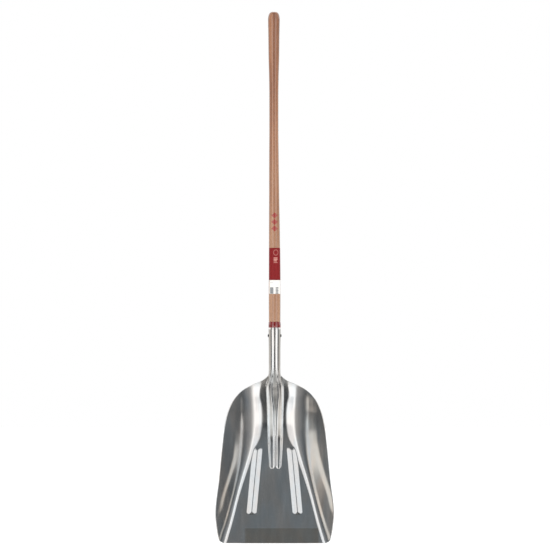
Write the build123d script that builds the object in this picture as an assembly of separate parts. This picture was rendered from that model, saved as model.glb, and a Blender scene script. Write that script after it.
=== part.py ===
from build123d import *

import os
from math import cos, log, pi, radians, sin, tan

# Long-handled aluminium scoop shovel, standing upright on its lip.
# +X is the shovel's right as seen from the hollow side, which faces -Y. +Z runs up the handle.
# The origin is the middle of the lip's bottom edge. All lengths are in millimetres.

# Whole shovel
TOP = 1650.0  # height of the knob end of the handle above the lip
SHEET = 1.8  # thickness of the aluminium sheet

# Scoop floor: flat at the lift angle, then bent round to run along the handle
LIFT = radians(22.0)  # angle between the floor and the handle
KNEE_LOW = 305.0  # the floor starts to bend here
KNEE_HIGH = 375.0  # and is parallel to the handle from here up

# Socket: the neck of the same sheet, rolled round the handle with a seam at the back
AXIS_Y = 129.4  # the handle's axis lies this far behind the lip
SOCKET_R = 18.1  # outer radius in the middle of the socket
SOCKET_FLARE = 0.9  # added to the radius at the mouth
SOCKET_TOP = 668.0
ROLL_START = 480.0  # the sheet starts to curl round the handle
ROLL_END = 562.0  # and is a full tube from here up
SEAM_ANGLE = radians(176.0)  # each edge of the sheet stops this far round from the front

# Pressed ribs on the floor, a pair on each side of the middle
RIB_LOW = 88.0
RIB_HIGH = 299.0
RIB_HEIGHT = 1.6
RIB_HALF_WIDTH = 7.0
RIB_OFFSET = 7.2  # from the middle of the pair to the middle of one rib
RIB_SPREAD = 19.7  # the pair stands this much wider apart at the bottom than at the top
RIB_TOP_X = 49.6

# Rivet through socket and handle
RIVET_Z = 643.0
RIVET_R = 2.6
RIVET_HEAD_R = 4.8
RIVET_HEAD_H = 2.5

# Collar ring between the socket's mouth and the wood
COLLAR_TOP = 686.0
COLLAR_R = 19.0
COLLAR_TOP_R = 18.3

# Handle
TENON_TIP = 462.0
TENON_R = 16.9
SHOULDER_R = 17.8
NECK_R = 14.1
NECK_LOW = 1292.0
NECK_HIGH = 1388.0
KNOB_R = 18.2
CONE_LOW = 745.0
CONE_LOW_R = 18.2
CONE_HIGH = 945.0
CONE_HIGH_R = 17.1

# Labels stuck round the handle
LABEL_LOW = 816.0
LABEL_HIGH = 916.0
PANEL_LOW = 773.0
LABEL_T = 0.25
RED_ARC = (-75.0, 105.0)  # degrees round from the front, to the shovel's left and right
WHITE_ARC = (-62.0, 72.0)

# Stations up the scoop, each (height, value), joined by smooth curves
FILLET_START = [(0, 145.7), (134, 111.7), (240, 75.8), (320, 41), (352, 26), (420, 26), (520, 20)]
FILLET_END = [(0, 172), (60, 156.2), (134, 134.9), (240, 112), (370, 103), (420, 113), (520, 118)]
WALL_ANGLE = [(0, 47), (370, 45), (430, 34), (480, 24), (520, 14), (560, 8)]
RIM_ANGLE = [(0, 40), (340, 38), (430, 32), (480, 23), (520, 14), (560, 8)]
CREST = [(229, 0), (242, 2.6), (280, 4), (320, 6), (350, 9), (400, 15), (450, 22), (500, 26.5)]
GROOVE = [(229, 0), (244, 1.8), (280, 3), (320, 4.5), (350, 6), (400, 10), (440, 9), (500, 2), (530, 0)]
GROOVE_EDGE = [(229, 8.5), (240, 5), (380, 5), (406, 7), (459, 9), (510, 10)]
GROOVE_FLOOR = [(229, 8), (240, 1), (380, 1.4), (406, 3.7), (459, 6.3), (490, 7.4), (530, 8)]
CREST_EDGE = [(229, 10), (240, 12), (320, 9.5), (400, 8.5), (500, 8)]
FOOT = [(229, 10.5), (240, 18), (273, 21), (335, 24), (444, 28), (495, 30), (520, 22), (545, 18)]

# The rim, as (height of the row at the middle, half width, height of the rim)
RIM = [
    (0, 160, 0),
    (10, 171, 8),
    (45, 179.6, 45),
    (93, 184, 93),
    (200, 172.7, 200),
    (290, 163, 300),
    (330, 156.5, 355),
    (365, 148, 396),
    (395, 133.5, 433),
    (420, 113, 461),
    (440, 89, 480),
    (458, 61, 493.5),
    (475, 40, 502),
    (492, 29, 511),
    (508, 23.5, 521),
    (525, 18.6, 533),
    (545, 17.6, 549),
    (565, 17.6, 565),
    (668, 17.6, 668),
]
ROW_FOOT = [(0, 18), (229, 18), (273, 21), (335, 24), (495, 29), (508, 23), (520, 18), (545, 17)]
INNER = 0.3  # share of each half row that lies on the fingers or the front of the socket


def along(stations, z):
    """A smooth curve through the stations that never swings past them."""
    if z <= stations[0][0]:
        return stations[0][1]
    if z >= stations[-1][0]:
        return stations[-1][1]
    k = 0
    while z > stations[k + 1][0]:
        k += 1
    steps = [(b[1] - a[1]) / (b[0] - a[0]) for a, b in zip(stations, stations[1:])]

    def slope(i):
        if i == 0 or i == len(steps):
            return steps[min(i, len(steps) - 1)]
        before, after = steps[i - 1], steps[i]
        return 0.0 if before * after <= 0 else 2 * before * after / (before + after)

    (z0, v0), (z1, v1) = stations[k], stations[k + 1]
    run = z1 - z0
    t = (z - z0) / run
    rise = (3 - 2 * t) * t * t
    return (
        v0 + (v1 - v0) * rise
        + run * t * (1 - t) * ((1 - t) * slope(k) - t * slope(k + 1))
    )


def ease(t):
    """0 below 0, 1 above 1, and a smooth step between."""
    t = min(max(t, 0.0), 1.0)
    return t * t * (3 - 2 * t)


def floor_depth(z):
    """How far back the middle of the sheet lies."""
    bent = min(max(z - KNEE_LOW, 0.0), KNEE_HIGH - KNEE_LOW)
    flat = min(z, KNEE_LOW)
    return tan(LIFT) * (flat + bent - bent**2 / (2 * (KNEE_HIGH - KNEE_LOW)))


def wall_height(x, z):
    """How far the side wall stands forward of the floor at this distance from the middle."""
    bends = [
        (along(FILLET_START, z), 0.0),
        (along(FILLET_END, z), along(WALL_ANGLE, z)),
        (along(FILLET_END, z) + 75.0, along(RIM_ANGLE, z)),
    ]
    height = 0.0
    for (x0, a0), (x1, a1) in zip(bends, bends[1:]):
        if x <= x0:
            break
        end = min(x, x1)
        a_end = a0 + (a1 - a0) * (end - x0) / (x1 - x0)
        if abs(a_end - a0) < 1e-6:
            height += (end - x0) * tan(radians(a0))
        else:
            turn = radians(a1 - a0) / (x1 - x0)
            height += log(cos(radians(a0)) / cos(radians(a_end))) / turn
    return height


def finger_height(x, z):
    """The two fingers that run down the floor from the socket, with the groove between them."""
    if z <= CREST[0][0]:
        return 0.0
    foot, crest_edge = along(FOOT, z), along(CREST_EDGE, z)
    flank = 1 - ease((x - crest_edge) / (foot - crest_edge))
    in_groove = along(GROOVE_FLOOR, z)
    groove = 1 - ease((x - in_groove) / (along(GROOVE_EDGE, z) - in_groove))
    return along(CREST, z) * flank - along(GROOVE, z) * groove


def rib_height(x, z):
    """The pair of pressed ribs beside the fingers: blunt at the bottom, fading out at the top."""
    if not RIB_LOW < z < RIB_HIGH:
        return 0.0
    middle = RIB_TOP_X + RIB_SPREAD * (RIB_HIGH - z) / (RIB_HIGH - RIB_LOW)
    ends = ease((z - RIB_LOW) / 8.0) * ease((RIB_HIGH - z) / 40.0)
    clear = 1 - ease((x - along(FILLET_START, z) - 2.0) / 8.0)
    height = 0.0
    for centre in (middle - RIB_OFFSET, middle + RIB_OFFSET):
        reach = abs(x - centre) / RIB_HALF_WIDTH
        if reach < 1:
            height += RIB_HEIGHT * (1 + cos(pi * reach)) / 2
    return height * ends * clear


def sheet_point(across, level):
    """The middle of the sheet: across runs -1 to 1 from rim to rim, level from lip to socket."""
    side = -1.0 if across < 0 else 1.0
    reach = abs(across)
    foot = along(ROW_FOOT, level)
    rim_x = along([(r[0], r[1]) for r in RIM], level)
    rim_z = along([(r[0], r[2]) for r in RIM], level)
    if reach <= INNER:
        x, z = foot * reach / INNER, level
        angle = reach / INNER * radians(100.0)
    else:
        out = (reach - INNER) / (1 - INNER)
        x = foot + (rim_x - foot) * out
        z = level + (rim_z - level) * out**2
        angle = radians(100.0) + (SEAM_ANGLE - radians(100.0)) * out
    y = floor_depth(z) - wall_height(x, z) - finger_height(x, z) - rib_height(x, z)
    roll = ease((level - ROLL_START) / (ROLL_END - ROLL_START))
    radius = SOCKET_R - SHEET / 2 + SOCKET_FLARE * ease((z - 590.0) / 60.0)
    x = (1 - roll) * x + roll * radius * sin(angle)
    y = (1 - roll) * y + roll * (AXIS_Y - radius * cos(angle))
    return Vector(side * x, y, z)


def sheet_faces_at(across, level):
    """The points on the front and back of the sheet. Along the lip both stay at the lip's height."""
    du, dl = 0.0005, 0.05
    u0, u1 = max(across - du, -1.0), min(across + du, 1.0)
    l0, l1 = max(level - dl, 0.0), min(level + dl, SOCKET_TOP)
    run = sheet_point(u1, level) - sheet_point(u0, level)
    rise = sheet_point(across, l1) - sheet_point(across, l0)
    normal = run.cross(rise).normalized()
    step = Vector(normal.X, normal.Y, normal.Z * ease(level / 30.0))
    step = step * (SHEET / 2 / step.dot(normal))
    middle = sheet_point(across, level)
    return middle + step, middle - step


def columns():
    """Where the rows are divided, closer together where the fingers and ribs are."""
    inner = [INNER * k / 11 for k in range(12)]
    ribs = [INNER + 0.42 * (1 - INNER) * k / 26 for k in range(1, 27)]
    wall = [INNER + (1 - INNER) * (0.42 + 0.58 * k / 14) for k in range(1, 15)]
    half = inner + ribs + wall
    return [-c for c in reversed(half[1:])] + half


def levels():
    """The heights of the rows at the middle of the sheet."""
    lip = [0, 4, 9, 16, 26, 38, 52, 66, 78]
    floor = [86 + 8 * k for k in range(3)] + [114 + 12 * k for k in range(9)]
    fingers = [220 + 9 * k for k in range(31)]
    socket = [500 + 8 * k for k in range(10)] + [585, 600, 615, 630, 645, SOCKET_TOP]
    return lip + floor + fingers + socket


def sheet_skin(rows, side):
    """The front or back surface of the sheet, lofted through its rows."""
    spacing = [k / (len(rows[0]) - 1) for k in range(len(rows[0]))]
    lines = [Edge.make_spline([point[side] for point in row], parameters=spacing) for row in rows]
    return Shell.make_loft([Wire([line]) for line in lines]).faces()[0]


def on_axis(shape):
    """Moves a shape made round the Z axis onto the handle's axis."""
    return Pos(0, AXIS_Y, 0) * shape


def turned(profile):
    """A solid turned round the handle's axis from a closed outline drawn in the XZ plane."""
    return on_axis(revolve(Plane.XZ * make_face(profile), Axis.Z))


def rivet_hole():
    return Pos(0, AXIS_Y, RIVET_Z) * Rot(0, 90, 0) * Cylinder(RIVET_R + 0.05, 60)


def flat_end(front_edge, back_edge):
    """The flat edge of the sheet along the lip, or round the mouth of the socket."""
    start = Edge.make_line(front_edge @ 0, back_edge @ 0)
    end = Edge.make_line(front_edge @ 1, back_edge @ 1)
    return Face(Wire([front_edge, end, back_edge, start]))


def make_scoop():
    """One pressed sheet: floor, walls, fingers, ribs and the rolled socket."""
    across = columns()
    rows = [[sheet_faces_at(c, level) for c in across] for level in levels()]
    front, back = sheet_skin(rows, 0), sheet_skin(rows, 1)
    lip, right, mouth, left = zip(front.edges(), back.edges())
    rims = [Face.make_surface_from_curves(*pair) for pair in (right, left)]
    shell = Shell([front, back, flat_end(*lip), flat_end(*mouth)] + rims)
    return Solid(shell) - rivet_hole()


def make_handle():
    """One turned piece of wood: tenon, shoulder, long taper, neck and knob."""
    tenon = Polyline((TENON_R - 0.9, 600), (TENON_R, 640), (TENON_R, COLLAR_TOP), (SHOULDER_R - 0.6, COLLAR_TOP))
    tip = Spline((0, TENON_TIP), (5, TENON_TIP + 2), (8, TENON_TIP + 13), (12.4, 515), (15.0, 560), (TENON_R - 0.9, 600))
    shoulder = Line((SHOULDER_R - 0.6, COLLAR_TOP), (SHOULDER_R, COLLAR_TOP + 0.6))
    below_cone = Spline((SHOULDER_R, COLLAR_TOP + 0.6), (18.1, 715), (CONE_LOW_R, CONE_LOW))
    cone = Line((CONE_LOW_R, CONE_LOW), (CONE_HIGH_R, CONE_HIGH))
    taper = Spline((CONE_HIGH_R, CONE_HIGH), (15.7, 1080), (14.9, 1190), (NECK_R, NECK_LOW))
    neck = Line((NECK_R, NECK_LOW), (NECK_R, NECK_HIGH))
    swell = Spline((NECK_R, NECK_HIGH), (14.9, 1450), (16.5, 1510), (17.2, 1570), (KNOB_R, 1626))
    knob = Spline((KNOB_R, 1626), (17.4, 1639), (14.0, 1646.5), (7.5, 1649.4), (0, TOP))
    axis = Line((0, TOP), (0, TENON_TIP))
    outline = [tip, tenon, shoulder, below_cone, cone, taper, neck, swell, knob, axis]
    return turned(outline) - rivet_hole()


def make_collar():
    """Plastic ring that sits on the socket's mouth and hides the step in the wood."""
    half = (SOCKET_TOP + COLLAR_TOP) / 2
    outline = Polyline(
        (TENON_R + 0.05, SOCKET_TOP),
        (COLLAR_R - 0.6, SOCKET_TOP),
        (COLLAR_R, SOCKET_TOP + 0.6),
        (COLLAR_R, half),
        (COLLAR_TOP_R, COLLAR_TOP - 0.8),
        (COLLAR_TOP_R - 0.8, COLLAR_TOP),
        (TENON_R + 0.05, COLLAR_TOP),
        close=True,
    )
    return turned(outline)


def make_rivet():
    """One rivet through socket and handle from side to side, with a domed head at each end."""
    seat = SOCKET_R + SOCKET_FLARE
    sink = 0.8  # the head's rim is drawn down round the curve of the socket
    blank = Pos(0, 0, seat + (RIVET_HEAD_H - sink) / 2) * Cylinder(RIVET_HEAD_R, RIVET_HEAD_H + sink)
    blank = fillet(blank.edges().sort_by(Axis.Z)[-1], 2.6)
    head = Rot(0, 90, 0) * blank - Cylinder(seat + 0.06, 20)
    shank = Rot(0, 90, 0) * Cylinder(RIVET_R, 2 * seat + 1)
    return Pos(0, AXIS_Y, RIVET_Z) * (shank + head + mirror(head, Plane.YZ))


def cone_radius(z):
    """The radius of the wood where the labels are."""
    return CONE_LOW_R + (CONE_HIGH_R - CONE_LOW_R) * (z - CONE_LOW) / (CONE_HIGH - CONE_LOW)


def make_label(low, high, first, last):
    """A thin label stuck round the wood, between two angles from the front."""
    inner = [(cone_radius(low) + 0.02, low), (cone_radius(high) + 0.02, high)]
    outer = [(r + LABEL_T, z) for r, z in reversed(inner)]
    strip = revolve(Plane.XZ * make_face(Polyline(*inner, *outer, close=True)), Axis.Z, last - first)
    return on_axis(Rot(0, 0, first - 90) * strip)


PARTS = {
    "scoop": make_scoop,
    "handle": make_handle,
    "collar_ring": make_collar,
    "socket_rivet": make_rivet,
    "red_label": lambda: make_label(LABEL_LOW, LABEL_HIGH, *RED_ARC),
    "white_label": lambda: make_label(PANEL_LOW, LABEL_LOW - 0.1, *WHITE_ARC),
}

if __name__ == "__main__":
    os.makedirs("parts", exist_ok=True)
    for name, make in PARTS.items():
        export_step(make(), os.path.join("parts", name + ".step"))
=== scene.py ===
from math import radians

import bmesh
import bpy
import numpy as np
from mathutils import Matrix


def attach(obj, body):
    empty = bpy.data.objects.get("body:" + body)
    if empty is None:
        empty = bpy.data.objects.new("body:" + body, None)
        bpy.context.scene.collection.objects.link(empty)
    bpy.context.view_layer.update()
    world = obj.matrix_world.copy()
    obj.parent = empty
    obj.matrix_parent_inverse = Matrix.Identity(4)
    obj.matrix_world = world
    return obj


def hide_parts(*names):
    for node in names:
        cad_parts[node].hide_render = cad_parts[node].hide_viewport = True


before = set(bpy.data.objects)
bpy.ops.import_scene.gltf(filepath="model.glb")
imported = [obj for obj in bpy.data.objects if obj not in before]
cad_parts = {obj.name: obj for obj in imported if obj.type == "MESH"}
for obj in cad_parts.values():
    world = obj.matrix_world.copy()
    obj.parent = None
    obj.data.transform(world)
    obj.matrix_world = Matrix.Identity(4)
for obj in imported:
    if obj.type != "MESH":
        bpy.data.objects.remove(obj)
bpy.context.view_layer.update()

MM = 0.001
SHEET = 1.8  # thickness of the aluminium, mm
EDGE_BULGE = 0.5  # how far its rounded edges stand out, mm
AXIS_Y = 129.4  # the handle's axis, mm behind the lip
LIFT = np.tan(radians(22.0))  # how steeply the floor leans back
KNEE_LOW, KNEE_HIGH = 305.0, 375.0  # the floor bends upright between these heights
SOCKET_R, SOCKET_FLARE, SOCKET_TOP = 18.1, 0.9, 668.0
ROLL_START, ROLL_END = 480.0, 562.0  # the sheet rolls into the socket between these levels
FRONT_ANGLE, SEAM_ANGLE = radians(100.0), radians(176.0)  # how far round the socket each part of a row goes
WIDEST = 480.0  # the level where the fingers are widest
INNER = 0.3  # share of each half row that lies on the fingers or the front of the socket
RIVET_Z = 643.0
RING_LOW, RING_HIGH, RING_BORE = 668.1, 686.0, 16.95
KNOB_START, KNOB_RISE = 1626.0, 24.0
BOW, BOW_START, BOW_LENGTH = -2.3, 790.0, 500.0  # the wood bends this far to the left on its way up
PRINT_R = 17.7  # radius of the wood where it is printed
LABEL_UNDER, LABEL_OVER = 0.03, 0.25  # how far the two faces of a label stand off the wood
RED_LABEL, WHITE_LABEL = (816, 916, -75, 105), (773, 815.9, -62, 72)  # two heights, then two angles

# Stations up the scoop: (height, value), joined by smooth curves
FILLET_START = [(0, 146.5), (60, 129), (150, 105.3), (200, 88.5), (250, 71.2), (290, 56.5), (330, 34),
                (370, 27.2), (400, 26.5), (430, 29.5), (456, 37), (480, 40), (520, 40)]
FILLET_MID = [(0, 157.6), (20, 151.6), (60, 139.6), (110, 127), (150, 116.8), (200, 103.2), (250, 88),
              (290, 77), (330, 69), (370, 65), (400, 64.5), (430, 66.5), (456, 67.5), (520, 68)]
FILLET_END = [(0, 176), (24, 168.6), (60, 156.2), (134, 134.9), (195, 120.3), (240, 112), (320, 105),
              (370, 103), (400, 104), (520, 104)]
OUTER_BAND = [(0, 192), (87, 178), (110, 170), (150, 161), (200, 145), (250, 130), (290, 121), (330, 117),
              (400, 117), (520, 116)]
MID_ANGLE = [(0, 27), (480, 27), (510, 20), (560, 8)]
WALL_ANGLE = [(0, 43.5), (240, 43), (290, 42.5), (330, 42), (370, 41.5), (430, 41), (456, 40), (480, 37),
              (520, 20), (560, 8)]
PANEL_ANGLE = [(0, 37), (110, 37.5), (150, 38), (200, 38.9), (250, 40.7), (290, 41.2), (330, 40.6),
               (370, 40.2), (400, 39.5), (430, 38.5), (456, 38), (480, 35), (520, 20), (560, 8)]
BAND_ANGLE = [(0, 37), (80, 38.5), (110, 41), (150, 41.8), (200, 42.4), (250, 42.6), (290, 41.8), (330, 39.8),
              (370, 39), (400, 38.6), (430, 37.5), (480, 34), (520, 20), (560, 8)]
RIM_ANGLE = [(0, 36.5), (60, 36.5), (110, 37), (200, 37.3), (330, 36.8), (400, 36.8), (430, 36), (480, 32),
             (520, 20), (560, 8)]
BAND_SHIFT = 6.0  # the right wall's bulge stands this much further out, and the left one's this much less
SHOULDER_LOW, SHOULDER_HIGH, SHOULDER_SLOPE = 446.0, 488.0, 0.12  # the sheet curls forward at the top
FINGER_SHIFT, SOCKET_SHIFT = 2.0, 1.1  # how far right of the middle the fingers are, low down and higher up
TIP_X, TIP_LOW, TIP_REACH = 9.8, 229.0, 11.0  # the rounded lower end of each finger
CREST = [(229, 3), (270, 3.8), (280, 4.0), (290, 4.4), (300, 5.3), (310, 7.1), (320, 9.6), (330, 12.4),
         (340, 15.2), (350, 17.5), (362, 19.6), (375, 21.1), (400, 23.1), (430, 25.1), (456, 26.3), (480, 27),
         (500, 27.2), (530, 26.5), (560, 26.1)]
GROOVE = [(229, 2.6), (250, 2.5), (300, 2.6), (340, 2.8), (380, 3.2), (406, 3.6), (430, 4.3), (456, 4.75),
          (480, 4.5), (495, 4), (510, 3), (530, 1), (545, 0)]
GROOVE_FLOOR = [(229, 0.5), (340, 0.6), (380, 0.8), (400, 1.5), (430, 4), (456, 6.3), (480, 6.6), (530, 6.8)]
GROOVE_EDGE = [(229, 8.6), (250, 8.4), (300, 8), (340, 8), (380, 8.4), (400, 8.8), (430, 10), (456, 13),
               (480, 13), (530, 13.5)]
FLANK_ANGLE = [(229, 45), (300, 46), (330, 70), (350, 76), (375, 79), (560, 79)]
FLANK_BEND = 2.6  # how wide each bend of a finger's outer flank is
FOOT = [(229, 18), (250, 19.2), (290, 22.2), (330, 23.8), (370, 24.6), (400, 25.2), (430, 26.2), (456, 27.2),
        (480, 27.8), (500, 28)]
ROW_FOOT = [(0, 18), (229, 18), (273, 21), (335, 25), (480, 29), (495, 27.4), (508, 23), (525, 18.4),
            (545, 17.4)]
RIM_X = [(0, 160), (10, 171), (45, 179.6), (93, 184), (200, 172.7), (290, 163), (330, 156.5), (365, 148),
         (395, 133.5), (420, 113), (440, 89), (458, 61), (475, 40), (492, 29), (508, 23.5), (525, 18.6),
         (545, 17.6), (668, 17.6)]
RIM_Z = [(0, 0), (10, 8), (45, 45), (93, 93), (200, 200), (290, 300), (330, 355), (365, 396),
         (395, 433), (420, 461), (440, 480), (458, 493.5), (475, 502), (492, 511), (508, 521), (525, 533),
         (545, 549), (565, 565), (668, 668)]
RIB_LOW, RIB_HIGH = 88.0, 300.0
RIB_HALF_WIDTH, RIB_BLUNT = 15.3, 1.5  # the crest is rounded by the second
RIB_END = 1.9  # how many times steeper a rib's lower end is than its flanks
RIB_SLOPE = np.tan(radians(13.0))
RIB_OUT, RIB_SCALE = 0.25, 150.0  # where the ribs lie across each half of the sheet, and mm per unit there
HANDLE_R = [(462, 0.4), (464, 5), (475, 8), (515, 12.4), (560, 15.0), (600, 16.0), (640, 16.9), (685.6, 16.9)]
HANDLE_UPPER_R = [(686, 17.3), (687, 17.8), (715, 18.1), (745, 18.2), (945, 17.1), (1080, 15.7), (1190, 14.9),
                  (1292, 14.1), (1388, 14.1), (1450, 14.9), (1510, 16.5), (1570, 17.2), (1626, 18.2)]


def along(stations, z):
    """A smooth curve through the stations that never swings past them, for an array of heights."""
    xs, vs = np.array(stations, float).T
    steps = np.diff(vs) / np.diff(xs)
    before, after = steps[:-1], steps[1:]
    same = before * after > 0
    inside = np.where(same, 2 * before * after / np.where(same, before + after, 1.0), 0.0)
    slope = np.concatenate([steps[:1], inside, steps[-1:]])
    z = np.clip(z, xs[0], xs[-1])
    k = np.clip(np.searchsorted(xs, z, side="right") - 1, 0, len(xs) - 2)
    run = xs[k + 1] - xs[k]
    t = (z - xs[k]) / run
    rise = (3 - 2 * t) * t * t
    return vs[k] + (vs[k + 1] - vs[k]) * rise + run * t * (1 - t) * ((1 - t) * slope[k] - t * slope[k + 1])


def ease(t):
    """Rises smoothly from 0 to 1 as t does."""
    t = np.clip(t, 0.0, 1.0)
    return t * t * (3 - 2 * t)


def floor_depth(z):
    """How far back the floor lies: it leans back from the lip, then bends upright below the socket."""
    bent = np.clip(z - KNEE_LOW, 0.0, KNEE_HIGH - KNEE_LOW)
    return LIFT * (np.minimum(z, KNEE_LOW) + bent - bent**2 / (2 * (KNEE_HIGH - KNEE_LOW)))


def bent_rise(x, bends):
    """The height at x of a sheet whose slope changes evenly between each two bends, given as (x, degrees)."""
    height = 0 * x
    for (x0, a0), (x1, a1) in zip(bends, bends[1:]):
        width = np.maximum(x1 - x0, 1e-6)
        part = np.clip((x - x0) / width, 0.0, 1.0)
        a0, a_end = np.radians(a0), np.radians(a0 + (a1 - a0) * part)
        turn = a_end - a0
        level = np.abs(turn) < 1e-5
        bent = np.log(np.cos(a0) / np.cos(a_end)) / np.where(level, 1.0, turn)
        height = height + width * part * np.where(level, np.tan(a0), bent)
    return height


def wall_height(x, z, side):
    """How far the side wall stands forward of the floor."""
    start, middle, end = along(FILLET_START, z), along(FILLET_MID, z), along(FILLET_END, z)
    band = np.maximum(along(OUTER_BAND, z) + BAND_SHIFT * side, end + 11.0)
    halfway, wall, panel = along(MID_ANGLE, z), along(WALL_ANGLE, z), along(PANEL_ANGLE, z)
    outer, rim = along(BAND_ANGLE, z), along(RIM_ANGLE, z)
    height = bent_rise(x, [
        (start, 0 * z), (middle, halfway), (end, wall), (end + 4.0, panel), (band - 5.0, panel),
        (band, outer), (band + 5.0, outer), (band + 14.0, rim), (band + 200.0, rim)])
    curl = SHOULDER_HIGH - SHOULDER_LOW
    above = np.maximum(z - SHOULDER_LOW, 0.0)
    forward = SHOULDER_SLOPE * np.where(above < curl, above**2 / (2 * curl), above - curl / 2)
    return height + forward * ease((x - 38.0) / 24.0)


def rounded_ramp(t, share=0.25):
    """Rises from 0 to 1 with one slope in the middle and an even bend at each end."""
    t = np.clip(t, 0.0, 1.0)
    curved = 2 * share * (1 - share)
    return np.where(t < share, t**2 / curved,
                    np.where(t > 1 - share, 1 - (1 - t) ** 2 / curved, (t - share / 2) / (1 - share)))


def finger_height(x, z):
    """The two fingers stand forward of the floor, with a groove between them that widens into the socket."""
    tip = np.clip((z - TIP_LOW) / TIP_REACH, 0.0, 1.0)
    narrow = np.sqrt(1 - (1 - tip) ** 2)
    foot, in_groove, groove_edge = (
        TIP_X + (along(stations, z) - TIP_X) * narrow for stations in (FOOT, GROOVE_FLOOR, GROOVE_EDGE))
    angle, crest = along(FLANK_ANGLE, z), along(CREST, z)
    steep = np.radians(angle)
    straight = np.maximum(crest + 2 * FLANK_BEND * np.log(np.cos(steep)) / steep, 0.0) / np.tan(steep)
    flank = bent_rise((foot - x) / np.maximum(narrow, 0.05), [
        (0 * z, 0 * z), (FLANK_BEND, angle), (FLANK_BEND + straight, angle),
        (2 * FLANK_BEND + straight, 0 * z)])
    bend = 0.30 - 0.24 * ease((z - 370.0) / 50.0)
    groove = 1 - rounded_ramp((x - in_groove) / np.maximum(groove_edge - in_groove, 0.1), bend)
    height = flank - along(GROOVE, z) * groove
    return np.where(z > TIP_LOW, height * (1 - (1 - tip) ** 2), 0.0)


def rib_middle(z):
    """How far a rib's crest is from the middle of the floor: the ribs spread towards the lip."""
    return 53.2 + 0.0925 * (290.0 - z)


def rib_height(x, z):
    """A wide low ridge in each half: straight flanks, a narrow crest and a blunt lower end."""
    past_end = RIB_END * np.maximum(RIB_LOW + RIB_HALF_WIDTH / RIB_END - z, 0.0)
    highest = RIB_SLOPE * (np.hypot(RIB_HALF_WIDTH, RIB_BLUNT) - RIB_BLUNT)
    down = RIB_SLOPE * (np.sqrt((x - rib_middle(z)) ** 2 + past_end**2 + RIB_BLUNT**2) - RIB_BLUNT)
    height = ((highest - down) + np.sqrt((highest - down) ** 2 + 0.02)) / 2
    near = ease((28.0 - np.abs(x - rib_middle(z))) / 12.0)
    clear = 1 - ease((x - along(FILLET_START, z) - 1.0) / 8.0)
    return height * ease((RIB_HIGH - z) / 16.0) * clear * near * (z > RIB_LOW - 12.0)


def sheet_point(across, level):
    """The middle of the sheet: across runs -1 to 1 from rim to rim, level from lip to socket."""
    reach = np.abs(across)
    foot, rim_x, rim_z = along(ROW_FOOT, level), along(RIM_X, level), along(RIM_Z, level)
    part_in = np.clip(reach / INNER, 0.0, 1.0)
    out = np.clip((reach - INNER) / (1 - INNER), 0.0, 1.0)
    x = foot * part_in + (rim_x - foot) * out
    beside_rib = 1 - ease((np.abs(out - RIB_OUT) - 0.11) / np.where(out < RIB_OUT, 0.13, 0.32))
    beside_rib = beside_rib * (1 - ease((level - RIB_HIGH) / 60.0)) * (reach > INNER)
    rib_x = rib_middle(np.clip(level, RIB_LOW, RIB_HIGH)) + (out - RIB_OUT) * RIB_SCALE
    x = x + (rib_x - x) * beside_rib
    z = level + (rim_z - level) * out**2
    angle = FRONT_ANGLE * part_in + (SEAM_ANGLE - FRONT_ANGLE) * out
    wide = along(ROW_FOOT, np.minimum(level, WIDEST))
    spread_x = np.where(x < foot, x * wide / foot, x - foot + wide)  # the fingers narrow with the rows above
    aside = FINGER_SHIFT - (FINGER_SHIFT - SOCKET_SHIFT) * ease((level - 430.0) / 60.0)
    spread_x = np.abs(np.sign(across) * spread_x - aside)
    y = floor_depth(z) - wall_height(x, z, np.sign(across)) - finger_height(spread_x, z) - rib_height(x, z)
    roll = ease((level - ROLL_START) / (ROLL_END - ROLL_START))
    radius = SOCKET_R - SHEET / 2 + SOCKET_FLARE * ease((z - 590.0) / 60.0)
    x = (1 - roll) * x + roll * radius * np.sin(angle)
    y = (1 - roll) * y + roll * (AXIS_Y - radius * np.cos(angle))
    return np.stack([np.sign(across) * x, y, z], axis=-1)


def unit(v):
    """The same directions, each one unit long."""
    return v / np.linalg.norm(v, axis=-1, keepdims=True)


def spread(*stretches):
    """Values over several stretches, each (end, how many steps), starting from the first end."""
    values = [stretches[0]]
    for end, steps in stretches[1:]:
        values.extend(values[-1] + (end - values[-1]) * np.arange(1, steps + 1) / steps)
    return np.array(values)


def skin_faces(index):
    """The squares of a grid of vertex numbers."""
    corners = [index[:-1, :-1], index[:-1, 1:], index[1:, 1:], index[1:, :-1]]
    return np.stack(corners, -1).reshape(-1, 4)


def edge_loop(rows, cols):
    """The row and column of each point round the edge of a grid, in order."""
    loop = [(0, k) for k in range(cols)] + [(r, cols - 1) for r in range(1, rows)]
    loop += [(rows - 1, k) for k in range(cols - 2, -1, -1)] + [(r, 0) for r in range(rows - 2, 0, -1)]
    return np.array(loop).T


def band_faces(before, now):
    """The squares between two closed rings of vertex numbers."""
    return np.stack([before, now, np.roll(now, -1), np.roll(before, -1)], -1)


def sheet_grid():
    """Where the sheet's points lie: close together on the fingers, the ribs and the bends."""
    levels = spread(0.0, (15, 8), (78, 14), (100, 20), (225, 22), (245, 18), (480, 80), (562, 36),
                    (SOCKET_TOP, 16))
    outward_half = spread(0.0, (0.145, 10), (0.345, 56), (0.65, 28), (1.0, 26))
    half = np.concatenate([spread(0.0, (INNER, 60)), INNER + (1 - INNER) * outward_half[1:]])
    return np.meshgrid(np.concatenate([-half[:0:-1], half]), levels)


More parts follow.
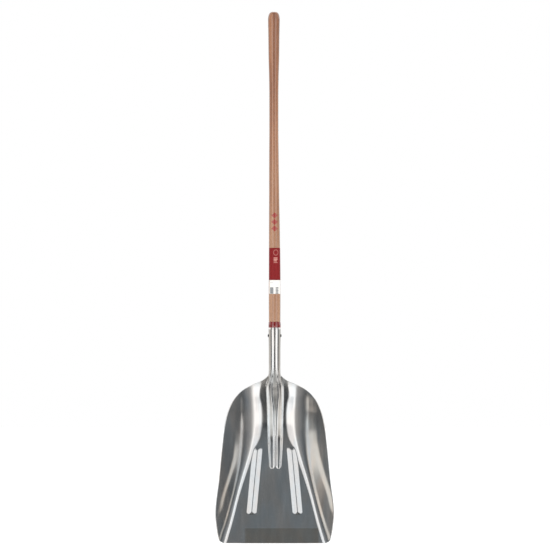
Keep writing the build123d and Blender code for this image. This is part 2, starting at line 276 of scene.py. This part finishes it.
def sheet_mesh():
    """The scoop and socket as one closed sheet with rounded edges."""
    u, l = sheet_grid()
    middle = sheet_point(u, l)
    du, dl = 4e-4, 0.05
    run = sheet_point(np.minimum(u + du, 1), l) - sheet_point(np.maximum(u - du, -1), l)
    rise = sheet_point(u, np.minimum(l + dl, SOCKET_TOP)) - sheet_point(u, np.maximum(l - dl, 0))
    normal = unit(np.cross(run, rise))
    step = normal * np.stack([np.ones_like(l), np.ones_like(l), ease(l / 30.0)], axis=-1)  # level at the lip
    step = step * (SHEET / 2) / np.sum(step * normal, axis=-1, keepdims=True)
    middle = middle + np.stack([0 * l, 0 * l, EDGE_BULGE * (1 - ease(l / 12.0))], axis=-1)
    rows, cols = l.shape
    skin = rows * cols
    index = np.arange(skin).reshape(rows, cols)
    verts = [(middle + step).reshape(-1, 3), (middle - step).reshape(-1, 3)]
    faces = [skin_faces(index), skin_faces(index)[:, ::-1] + skin]
    lr, lc = edge_loop(rows, cols)
    edge_mid, edge_n, edge_step = middle[lr, lc], normal[lr, lc], step[lr, lc]
    outward = edge_mid - middle[np.clip(lr, 1, rows - 2), np.clip(lc, 1, cols - 2)]
    outward = unit(outward - np.sum(outward * edge_n, -1, keepdims=True) * edge_n)
    ring_before, total = index[lr, lc], 2 * skin
    for angle in np.radians([45.0, 90.0, 135.0]):
        ring = edge_mid + edge_step * np.cos(angle) + outward * EDGE_BULGE * np.sin(angle)
        ring[:, 2] = np.maximum(ring[:, 2], 0.0)
        verts.append(ring)
        ring_now = np.arange(total, total + len(lr))
        faces.append(band_faces(ring_before, ring_now))
        ring_before, total = ring_now, total + len(lr)
    faces.append(band_faces(ring_before, index[lr, lc] + skin))
    return np.concatenate(verts), np.concatenate(faces)


def add_mesh(name, verts, faces, slot, node, material):
    """A smooth piece in millimetres that rides on the shovel and stands for a CAD node."""
    mesh = bpy.data.meshes.new(name)
    mesh.from_pydata((np.asarray(verts) * MM).tolist(), [], [list(f) for f in faces])
    mesh.polygons.foreach_set("use_smooth", [True] * len(mesh.polygons))
    bm = bmesh.new()
    bm.from_mesh(mesh)
    bmesh.ops.recalc_face_normals(bm, faces=bm.faces)
    bm.to_mesh(mesh)
    bm.free()
    obj = bpy.data.objects.new(name, mesh)
    bpy.context.scene.collection.objects.link(obj)
    obj.data.materials.append(material)
    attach(obj, "root")
    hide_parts(node)


def bow(z):
    """How far right of the middle the wood's axis is at a height."""
    return BOW * ease((z - BOW_START) / BOW_LENGTH)


def turned_mesh(outline, sides, closed_ends=True):
    """A solid turned round the handle's axis from (radius, height) points, bottom to top."""
    outline = np.array(outline, float)
    angles = np.arange(sides) * 2 * np.pi / sides
    ring = np.stack([np.sin(angles), -np.cos(angles)], -1)
    rows = [np.concatenate([ring * r + [bow(z), AXIS_Y], np.full((sides, 1), z)], -1) for r, z in outline]
    k = np.arange(sides)
    nxt = np.roll(k, -1)
    top = (len(outline) - 1) * sides
    faces = []
    for first in range(0, top, sides):
        faces.extend(np.stack([k, nxt, nxt + sides, k + sides], -1) + first)
    if closed_ends:
        faces += [k[::-1], k + top]
    else:
        faces.extend(np.stack([k + top, nxt + top, nxt, k], -1))
    return np.concatenate(rows), faces


def handle_outline():
    """The tenon, the wood's waist and swells, and the rounded knob."""
    lower = spread(462.0, (464, 3), (480, 8), (600, 24), (685.6, 12))
    upper = spread(RING_HIGH, (687, 3), (745, 12), (945, 40), (KNOB_START, 130))
    outline = [(float(along(HANDLE_R, z)), z) for z in lower]
    outline += [(float(along(HANDLE_UPPER_R, z)), z) for z in upper]
    knob_r = HANDLE_UPPER_R[-1][1]
    for angle in np.linspace(0, np.pi / 2, 16)[1:]:
        outline.append((knob_r * np.cos(angle) ** 0.55 + 0.02, KNOB_START + KNOB_RISE * np.sin(angle)))
    return outline


def ring_outline():
    """The collar ring: a straight lower half, a tapered upper half, open down the middle."""
    outside = [(18.4, RING_LOW), (18.8, 668.3), (19.0, 668.8), (19.0, 676.5), (18.9, 677.6), (18.5, 684.6),
               (18.3, 685.5), (17.9, RING_HIGH)]
    return [(RING_BORE, RING_LOW), *outside, (RING_BORE, RING_HIGH)]


def rivet_mesh(side):
    """One domed head with its rim drawn down to the curve of the socket."""
    rings = [(4.8, 18.25), (4.8, 19.3), (4.6, 20.1), (4.1, 20.75), (3.2, 21.2), (2.0, 21.42), (0.8, 21.5)]
    sides, socket_r, flat_from, rim_depth = 40, 19.0, 19.5, 1.25
    verts, faces = [], []
    for r, x in rings:
        for angle in 2 * np.pi * np.arange(sides) / sides:
            across = r * np.cos(angle)
            seat = np.sqrt(socket_r**2 - across**2)
            drawn = x - (socket_r - seat) * (flat_from - x) / rim_depth
            depth = x if x > flat_from else max(drawn, seat + 0.02)
            verts.append((side * depth, AXIS_Y + across, RIVET_Z + r * np.sin(angle)))
    k = np.arange(sides)
    nxt = np.roll(k, -1)
    top = (len(rings) - 1) * sides
    for first in range(0, top, sides):
        faces.extend(np.stack([k, nxt, nxt + sides, k + sides], -1) + first)
    return verts, faces + [k[::-1], k + top]


def label_mesh(low, high, first, last):
    """A thin label round the wood, between two angles from the front, in degrees."""
    angles = np.radians(np.linspace(first, last, 61))
    heights = np.linspace(low, high, 21)
    verts = []
    for lift in (LABEL_UNDER, LABEL_OVER):
        for z in heights:
            r = float(along(HANDLE_UPPER_R, z)) + lift
            verts.extend([(r * np.sin(a) + bow(z), AXIS_Y - r * np.cos(a), z) for a in angles])
    rows, cols = len(heights), len(angles)
    index = np.arange(rows * cols).reshape(rows, cols)
    under = index[tuple(edge_loop(rows, cols))]
    over = index + rows * cols
    sides = band_faces(under, under + rows * cols)
    return verts, np.concatenate([skin_faces(index), skin_faces(over), sides])


class Nodes:
    """A short way to write a material's nodes."""

    def __init__(self, name):
        self.material = bpy.data.materials.new(name)
        self.material.use_nodes = True
        self.tree = self.material.node_tree
        self.shader = self.tree.nodes["Principled BSDF"]
        self.position = self.add("ShaderNodeTexCoord").outputs["Object"]

    def add(self, kind, **settings):
        node = self.tree.nodes.new(kind)
        for key, value in settings.items():
            setattr(node, key, value)
        return node

    def link(self, source, target):
        if isinstance(source, (int, float, tuple)):
            target.default_value = source
        else:
            self.tree.links.new(source, target)

    def math(self, operation, a, b=0.0, c=0.0, clamp=False):
        node = self.add("ShaderNodeMath", operation=operation, use_clamp=clamp)
        for socket, value in zip(node.inputs, (a, b, c)):
            self.link(value, socket)
        return node.outputs[0]

    def scaled(self, scale, offset=(0.0, 0.0, 0.0)):
        node = self.add("ShaderNodeMapping")
        node.inputs["Scale"].default_value = scale
        node.inputs["Location"].default_value = offset
        self.link(self.position, node.inputs["Vector"])
        return node.outputs[0]

    def noise(self, scale, detail=3.0, rough=0.55, stretch=(1, 1, 1), offset=(0, 0, 0), distortion=0.0):
        node = self.add("ShaderNodeTexNoise")
        self.link(self.scaled(stretch, offset), node.inputs["Vector"])
        node.inputs["Scale"].default_value = scale
        node.inputs["Detail"].default_value = detail
        node.inputs["Roughness"].default_value = rough
        node.inputs["Distortion"].default_value = distortion
        return node.outputs["Fac"]

    def ramp(self, fac, *stops):
        node = self.add("ShaderNodeValToRGB")
        elements = node.color_ramp.elements
        while len(elements) < len(stops):
            elements.new(0.5)
        for element, (at, colour) in zip(elements, stops):
            element.position = at
            element.color = (*colour, 1.0)
        self.link(fac, node.inputs[0])
        return node.outputs[0]

    def mix(self, fac, a, b, blend="MIX"):
        node = self.add("ShaderNodeMix", data_type="RGBA", blend_type=blend)
        self.link(fac, node.inputs[0])
        self.link((*a, 1.0) if isinstance(a, tuple) else a, node.inputs[6])
        self.link((*b, 1.0) if isinstance(b, tuple) else b, node.inputs[7])
        return node.outputs[2]

    def range(self, value, lo, hi, to_lo=0.0, to_hi=1.0):
        node = self.add("ShaderNodeMapRange")
        self.link(value, node.inputs[0])
        for socket, number in zip(list(node.inputs)[1:5], (lo, hi, to_lo, to_hi)):
            socket.default_value = number
        return node.outputs[0]

    def parts(self):
        split = self.add("ShaderNodeSeparateXYZ")
        self.link(self.position, split.inputs[0])
        return split.outputs

    def round_the_wood(self):
        """How far round the handle from its front, in metres to the right."""
        x, y, _ = self.parts()
        forward = self.math("SUBTRACT", AXIS_Y * MM, y)
        return self.math("MULTIPLY", self.math("ARCTAN2", x, forward), PRINT_R * MM)

    def inside(self, value, low, high, soft=0.0003):
        """1 between low and high, 0 outside, with soft ends."""
        above = self.range(value, low - soft, low + soft)
        below = self.range(value, high - soft, high + soft, 1.0, 0.0)
        return self.math("MULTIPLY", above, below)

    def block(self, u, v, left, right, low, high):
        """1 in a rectangle of two coordinates."""
        return self.math("MULTIPLY", self.inside(u, left, right), self.inside(v, low, high))

    def bump(self, height, strength, distance, normal=None):
        node = self.add("ShaderNodeBump")
        node.inputs["Strength"].default_value = strength
        node.inputs["Distance"].default_value = distance
        self.link(height, node.inputs["Height"])
        if normal is not None:
            self.link(normal, node.inputs["Normal"])
        return node.outputs[0]

    def set(self, **values):
        for key, value in values.items():
            self.link(value, self.shader.inputs[key.replace("_", " ")])
        return self.material


def srgb(r, g, b):
    """A linear colour from 0-255 display values."""
    out = []
    for c in (r, g, b):
        c /= 255.0
        out.append(c / 12.92 if c <= 0.04045 else ((c + 0.055) / 1.055) ** 2.4)
    return tuple(out)


def aluminium():
    m = Nodes("rolled_aluminium")
    streaks = m.noise(900.0, 2.0, 0.5, stretch=(1.0, 0.4, 0.02))
    broad = m.noise(60.0, 3.0, 0.5, stretch=(1.0, 0.5, 0.06), offset=(3.0, 0.0, 0.0))
    cloud = m.noise(9.0, 3.0, 0.6)
    tint = m.ramp(m.math("ADD", m.math("MULTIPLY", streaks, 0.5), m.math("MULTIPLY", broad, 0.5)),
                  (0.30, (0.78, 0.78, 0.78)), (0.70, (0.93, 0.93, 0.93)))
    hue = m.noise(22.0, 2.0, 0.5, stretch=(1.0, 1.0, 0.25), offset=(0.7, 0.0, 0.2))
    tint = m.mix(1.0, tint, m.ramp(hue, (0.38, (1.0, 0.965, 0.93)), (0.60, (0.95, 0.985, 1.0))), "MULTIPLY")
    x, _, z = m.parts()
    strip = m.math("MULTIPLY", m.inside(z, -0.05, 0.046, 0.001), m.inside(x, -0.092, 0.136, 0.003))
    tint = m.mix(m.math("MULTIPLY", strip, 0.75), tint, m.mix(1.0, tint, (0.74, 0.68, 0.60), "MULTIPLY"))
    rough = m.math("ADD", m.range(broad, 0.3, 0.7, 0.11, 0.16), m.range(cloud, 0.3, 0.7, -0.01, 0.03))
    neck = m.inside(z, 0.492, 0.533, 0.012)  # darker tint and rougher metal at these heights, where the sheet rolls into the socket
    tint = m.mix(neck, tint, m.mix(1.0, tint, (0.74, 0.74, 0.73), "MULTIPLY"))
    rough = m.math("ADD", rough, m.math("MULTIPLY", neck, 0.2))
    tips = m.math("MULTIPLY", m.inside(z, 0.235, 0.335, 0.02), m.inside(x, -0.021, 0.025, 0.002))
    rough = m.math("ADD", rough, m.math("MULTIPLY", tips, 0.1))
    wave = m.bump(m.noise(14.0, 2.0, 0.5, stretch=(1.0, 1.0, 0.5)), 0.25, 0.0012)
    fine = m.bump(streaks, 0.05, 0.0002, wave)
    return m.set(Base_Color=tint, Metallic=1.0, Roughness=rough, Normal=fine)


def wood():
    m = Nodes("lacquered_ash")
    _, _, z = m.parts()
    grain = m.noise(420.0, 4.0, 0.6, stretch=(1.0, 1.0, 0.018), distortion=0.3)
    bands = m.noise(110.0, 3.0, 0.55, stretch=(1.0, 1.0, 0.012), offset=(0.3, 0.1, 0.0))
    pores = m.noise(1500.0, 2.0, 0.6, stretch=(1.0, 1.0, 0.02))
    upper = m.ramp(bands, (0.32, srgb(128, 76, 46)), (0.5, srgb(155, 99, 65)), (0.68, srgb(176, 118, 80)))
    lower = m.ramp(bands, (0.32, srgb(156, 108, 76)), (0.5, srgb(184, 136, 102)), (0.68, srgb(208, 164, 132)))
    patchy = m.range(m.noise(5.0), 0.3, 0.7, -0.12, 0.12)
    fade = m.math("ADD", m.range(z, 0.75, 1.45, 1.0, 0.0), patchy, clamp=True)  # paler towards the socket
    colour = m.mix(fade, upper, lower)
    colour = m.mix(m.range(grain, 0.35, 0.65, 0.35, 0.0), colour, srgb(120, 74, 46))
    colour = m.mix(m.range(pores, 0.60, 0.72, 0.0, 0.35), colour, srgb(92, 56, 34))
    half_wide, half_high, low = 0.0125, 0.0102, 0.966  # three printed diamonds, one above the other
    across = m.math("DIVIDE", m.math("ABSOLUTE", m.round_the_wood()), half_wide)
    up = m.math("DIVIDE", m.math("PINGPONG", m.math("SUBTRACT", z, low), half_high), half_high)
    outside = m.math("ADD", across, m.math("SUBTRACT", 1.0, up))
    diamonds = m.math("MULTIPLY", m.range(outside, 0.86, 0.94, 1.0, 0.0),
                      m.inside(z, low, low + 6 * half_high))
    ink = m.math("MULTIPLY", diamonds, m.range(grain, 0.3, 0.7, 0.75, 0.95))
    colour = m.mix(ink, colour, srgb(160, 12, 14))
    bump = m.bump(m.math("ADD", grain, m.math("MULTIPLY", pores, 0.5)), 0.12, 0.0003)
    m.shader.inputs["Coat Weight"].default_value = 1.0
    m.shader.inputs["Coat Roughness"].default_value = 0.10
    m.shader.inputs["Coat IOR"].default_value = 1.75
    return m.set(Base_Color=colour, Roughness=m.range(grain, 0.3, 0.7, 0.42, 0.52), Normal=bump)


def red_plastic():
    m = Nodes("red_plastic")
    speck = m.noise(350.0, 3.0)
    m.shader.inputs["Coat Weight"].default_value = 1.0
    m.shader.inputs["Coat Roughness"].default_value = 0.05
    m.shader.inputs["Coat IOR"].default_value = 2.1
    m.shader.inputs["Specular IOR Level"].default_value = 0.1
    return m.set(Base_Color=m.ramp(speck, (0.35, (0.17, 0.0005, 0.001)), (0.65, (0.22, 0.001, 0.0015))),
                 Roughness=m.range(speck, 0.3, 0.7, 0.22, 0.34), Normal=m.bump(speck, 0.05, 0.0002))


def rivet_steel():
    m = Nodes("rivet_steel")
    speck = m.noise(700.0, 4.0)
    return m.set(Base_Color=m.ramp(speck, (0.3, (0.09, 0.09, 0.10)), (0.7, (0.20, 0.20, 0.21))), Metallic=1.0,
                 Roughness=m.range(speck, 0.3, 0.7, 0.35, 0.55), Normal=m.bump(speck, 0.2, 0.0003))


def printed_film(m, speck, colour, marks, ink):
    """Smooth film with marks printed on it."""
    return m.set(Base_Color=m.mix(marks, colour, ink), Roughness=m.range(speck, 0.3, 0.7, 0.36, 0.46),
                 Normal=m.bump(speck, 0.04, 0.0002))


def red_film():
    m = Nodes("red_film")
    speck = m.noise(500.0, 3.0)
    colour = m.ramp(speck, (0.3, srgb(126, 14, 18)), (0.7, srgb(140, 22, 25)))
    u, (_, _, z) = m.round_the_wood(), m.parts()
    middle, reach = (0.004, 0.9015), (0.0085, 0.0095)  # a faint ring, above four bars
    away = [m.math("POWER", m.math("DIVIDE", m.math("SUBTRACT", value, centre), size), 2.0)
            for value, centre, size in zip((u, z), middle, reach)]
    marks = m.math("MULTIPLY", m.inside(m.math("ADD", *away), 0.55, 1.0, 0.08), 0.45)
    bar_left = -0.003
    for low, high, right in [(0.883, 0.886, 0.0095), (0.8785, 0.8815, 0.0095), (0.874, 0.877, 0.007),
                             (0.8695, 0.871, 0.0095)]:
        marks = m.math("MAXIMUM", marks, m.block(u, z, bar_left, right, low, high))
    m.shader.inputs["Specular IOR Level"].default_value = 0.3
    return printed_film(m, speck, colour, m.math("MULTIPLY", marks, 0.8), srgb(222, 160, 148))


def white_film():
    m = Nodes("white_film")
    speck = m.noise(500.0, 3.0)
    colour = m.ramp(speck, (0.3, srgb(238, 235, 230)), (0.7, srgb(248, 245, 240)))
    u, (_, _, z) = m.round_the_wood(), m.parts()
    low, high, pitch, bar = 0.7735, 0.7935, 0.0042, 0.0034  # a grey block beside five bars
    marks = m.block(u, z, -0.0155, -0.0035, low, high)
    for row in range(5):
        foot, right = low + pitch * row, 0.0125 - 0.001 * (row % 2)
        marks = m.math("MAXIMUM", marks, m.block(u, z, 0.003, right, foot, foot + bar))
    faint_bar = m.math("MULTIPLY", m.block(u, z, -0.015, -0.005, 0.8065, 0.8085), 0.5)
    marks = m.math("MULTIPLY", m.math("MAXIMUM", marks, faint_bar), 0.85)
    return printed_film(m, speck, colour, marks, srgb(112, 116, 120))


WORLD_TURN = 2.0  # degrees that the studio is turned from the shovel


def make_world():
    """The studio that the metal mirrors: dark ahead, a tall bright window on each side, white behind."""
    world = bpy.data.worlds.new("studio")
    bpy.context.scene.world = world
    world.use_nodes = True
    nodes, links = world.node_tree.nodes, world.node_tree.links

    def put(value, socket):
        if isinstance(value, (int, float, tuple)):
            socket.default_value = value
        else:
            links.new(value, socket)

    def math(operation, a, b=0.0):
        node = nodes.new("ShaderNodeMath")
        node.operation = operation
        put(a, node.inputs[0])
        put(b, node.inputs[1])
        return node.outputs[0]

    def step(value, start, end):
        node = nodes.new("ShaderNodeMapRange")
        node.interpolation_type = "SMOOTHSTEP"
        put(value, node.inputs[0])
        put(float(start), node.inputs[1])
        put(float(end), node.inputs[2])
        return node.outputs[0]

    def mix(share, a, b):
        node = nodes.new("ShaderNodeMix")
        node.data_type = "RGBA"
        put(share, node.inputs[0])
        put(a, node.inputs[6])
        put(b, node.inputs[7])
        return node.outputs[2]

    def ramp(value, lowest, highest, stops):
        """A colour for each angle in degrees, straight between the stops."""
        node = nodes.new("ShaderNodeValToRGB")
        elements = node.color_ramp.elements
        while len(elements) < len(stops):
            elements.new(0.5)
        for element, (angle, colour) in zip(elements, stops):
            element.position = (angle - lowest) / (highest - lowest)
            element.color = (*colour, 1.0)
        put(math("DIVIDE", math("SUBTRACT", value, float(lowest)), float(highest - lowest)), node.inputs[0])
        return node.outputs[0]

    split = nodes.new("ShaderNodeSeparateXYZ")
    links.new(nodes.new("ShaderNodeTexCoord").outputs["Generated"], split.inputs[0])
    x, y, z = split.outputs
    degrees = 180 / np.pi
    signed = math("MULTIPLY", math("ARCTAN2", x, math("MULTIPLY", y, -1.0)), degrees)
    turn = math("ABSOLUTE", math("SUBTRACT", signed, WORLD_TURN))
    lift = math("MULTIPLY", math("ARCSINE", z), degrees)

    window, soft, white = (1.25, 1.25, 1.25), (0.92, 0.92, 0.93), (1.0, 1.0, 1.0)
    dim, dark, shade = (0.34, 0.34, 0.34), (0.09, 0.093, 0.096), (0.12, 0.13, 0.14)
    ahead = ramp(lift, -90, 90, [
        (-90, (0.40, 0.38, 0.35)), (-24, (0.42, 0.40, 0.37)), (-14, (0.86, 0.83, 0.79)),
        (-9, (0.84, 0.81, 0.77)), (-7, (0.62, 0.60, 0.57)), (-5, (0.30, 0.295, 0.28)),
        (-3, (0.11, 0.11, 0.108)), (0, (0.045, 0.047, 0.05)), (7, (0.048, 0.052, 0.056)),
        (14, (0.105, 0.112, 0.116)), (30, (0.135, 0.142, 0.147)), (44, (0.150, 0.163, 0.173)),
        (90, (0.11, 0.12, 0.13))])
    level = ramp(turn, 0, 180, [
        (0, window), (50, window), (56, dim), (68, (0.20, 0.205, 0.21)), (76, dark), (80, dark),
        (86, (0.45, 0.43, 0.40)), (96, (0.52, 0.50, 0.47)), (140, (0.56, 0.55, 0.53)),
        (168, (0.74, 0.73, 0.72))])
    raised = ramp(turn, 0, 180, [
        (0, soft), (42, soft), (46, window), (50, window), (55, dim), (66, (0.19, 0.20, 0.21)),
        (74, (0.095, 0.10, 0.105)), (77.5, (0.10, 0.105, 0.11)), (80, (0.30, 0.285, 0.27)),
        (82.5, (0.82, 0.76, 0.69)), (100, (0.9, 0.85, 0.79)), (110, white)])
    ceiling = ramp(turn, 0, 180, [(0, shade), (84, shade), (92, (0.9, 0.84, 0.76)), (110, white)])
    ground = ramp(turn, 0, 180, [
        (0, (0.40, 0.38, 0.35)), (85, (0.30, 0.29, 0.27)), (110, (0.7, 0.68, 0.65)), (150, white)])
    around = mix(step(turn, 13, 20), ahead, mix(step(lift, 1.5, 5), level, raised))
    around = mix(step(lift, 54, 60), around, ceiling)
    around = mix(step(lift, -24, -32), around, ground)
    # Matt surfaces are lit softly from all round, most from the front, and the backdrop is white
    rays = nodes.new("ShaderNodeLightPath").outputs
    soft_light = mix(step(turn, 10, 130), (1.32, 1.32, 1.32, 1.0), (0.70, 0.70, 0.70, 1.0))
    around = mix(rays["Is Diffuse Ray"], around, soft_light)
    around = mix(rays["Is Camera Ray"], around, (*white, 1.0))
    links.new(around, nodes["Background"].inputs["Color"])


def make_floor():
    """A pale floor that the metal doesn't mirror."""
    half = 30.0
    corners = [(-half, -half, 0), (half, -half, 0), (half, half, 0), (-half, half, 0)]
    mesh = bpy.data.meshes.new("floor")
    mesh.from_pydata(corners, [], [(0, 1, 2, 3)])
    floor = bpy.data.objects.new("floor", mesh)
    bpy.context.scene.collection.objects.link(floor)
    m = Nodes("floor")
    m.shader.inputs["Emission Color"].default_value = (1, 1, 1, 1)
    mesh.materials.append(m.set(Base_Color=(0.9, 0.9, 0.9, 1.0), Roughness=0.9, Emission_Strength=0.45))
    floor.visible_glossy = False


def make_camera():
    """A long lens far off, level with the middle of the view."""
    data = bpy.data.cameras.new("camera")
    camera = bpy.data.objects.new("camera", data)
    bpy.context.scene.collection.objects.link(camera)
    distance, aside, height, view = 40.0, 0.0012, 0.8316, 1.705
    camera.location = (aside, -distance, height)
    camera.rotation_euler = (radians(90), 0, 0)
    data.sensor_width = 36.0
    data.lens = data.sensor_width * distance / view
    data.clip_end = 200.0
    bpy.context.scene.camera = camera


collar = turned_mesh(ring_outline(), 96, closed_ends=False)
red_label, white_label = label_mesh(*RED_LABEL), label_mesh(*WHITE_LABEL)
steel = rivet_steel()
add_mesh("scoop_sheet", *sheet_mesh(), "sheet_aluminium", "scoop", aluminium())
add_mesh("wood_handle", *turned_mesh(handle_outline(), 112), "handle_wood", "handle", wood())
add_mesh("red_collar", *collar, "red_plastic", "collar_ring", red_plastic())
add_mesh("rivet_head_right", *rivet_mesh(1), "rivet_steel", "socket_rivet", steel)
add_mesh("rivet_head_left", *rivet_mesh(-1), "rivet_steel", "socket_rivet", steel)
add_mesh("red_wrap_label", *red_label, "red_film", "red_label", red_film())
add_mesh("white_label_panel", *white_label, "white_film", "white_label", white_film())
make_world()
make_floor()
make_camera()
bpy.context.scene.view_settings.view_transform = "Standard"
